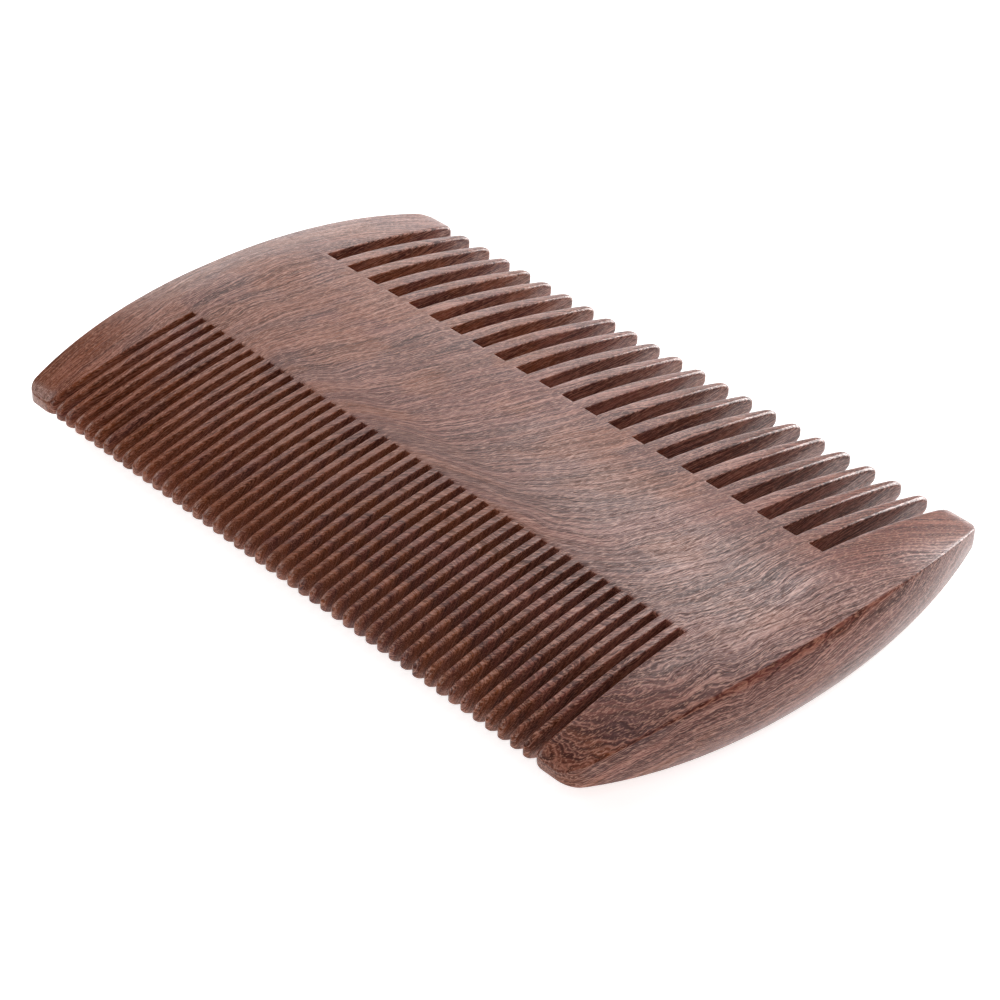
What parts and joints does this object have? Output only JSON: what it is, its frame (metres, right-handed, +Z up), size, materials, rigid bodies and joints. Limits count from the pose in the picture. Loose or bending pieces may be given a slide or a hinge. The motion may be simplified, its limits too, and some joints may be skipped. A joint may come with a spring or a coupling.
{
  "type": "beard comb",
  "caption": "Double-sided wooden beard comb, lens-shaped in section: fine teeth along one edge, wide teeth along the other, a thick spine between them and solid bowed end guards.",
  "frame": {"origin": "middle of the flat band under the spine, on the surface that the comb rests on", "axes": "+X along the comb from the left end guard to the right one, +Y from the fine teeth to the wide teeth, +Z up through the thickness"},
  "size_m": [0.1026, 0.063, 0.0108],
  "materials": {
    "sandalwood": "fine-sanded and oiled, satin"
  },
  "bodies": {
    "root": {"spine": "sandalwood", "end_guard_left": "sandalwood", "end_guard_right": "sandalwood", "fine_tooth_01": "sandalwood", "fine_tooth_02": "sandalwood", "fine_tooth_03": "sandalwood", "fine_tooth_04": "sandalwood", "fine_tooth_05": "sandalwood", "fine_tooth_06": "sandalwood", "fine_tooth_07": "sandalwood", "fine_tooth_08": "sandalwood", "fine_tooth_09": "sandalwood", "fine_tooth_10": "sandalwood", "fine_tooth_11": "sandalwood", "fine_tooth_12": "sandalwood", "fine_tooth_13": "sandalwood", "fine_tooth_14": "sandalwood", "fine_tooth_15": "sandalwood", "fine_tooth_16": "sandalwood", "fine_tooth_17": "sandalwood", "fine_tooth_18": "sandalwood", "fine_tooth_19": "sandalwood", "fine_tooth_20": "sandalwood", "fine_tooth_21": "sandalwood", "fine_tooth_22": "sandalwood", "fine_tooth_23": "sandalwood", "fine_tooth_24": "sandalwood", "fine_tooth_25": "sandalwood", "fine_tooth_26": "sandalwood", "fine_tooth_27": "sandalwood", "fine_tooth_28": "sandalwood", "fine_tooth_29": "sandalwood", "fine_tooth_30": "sandalwood", "fine_tooth_31": "sandalwood", "fine_tooth_32": "sandalwood", "fine_tooth_33": "sandalwood", "fine_tooth_34": "sandalwood", "fine_tooth_35": "sandalwood", "fine_tooth_36": "sandalwood", "fine_tooth_37": "sandalwood", "fine_tooth_38": "sandalwood", "fine_tooth_39": "sandalwood", "fine_tooth_40": "sandalwood", "fine_tooth_41": "sandalwood", "fine_tooth_42": "sandalwood", "fine_tooth_43": "sandalwood", "fine_tooth_44": "sandalwood", "wide_teeth_01_03": "sandalwood", "wide_teeth_04_06": "sandalwood", "wide_teeth_07_09": "sandalwood", "wide_teeth_10_12": "sandalwood", "wide_teeth_13_15": "sandalwood", "wide_teeth_16_18": "sandalwood", "wide_teeth_19_21": "sandalwood"}
  },
  "joints": []
}
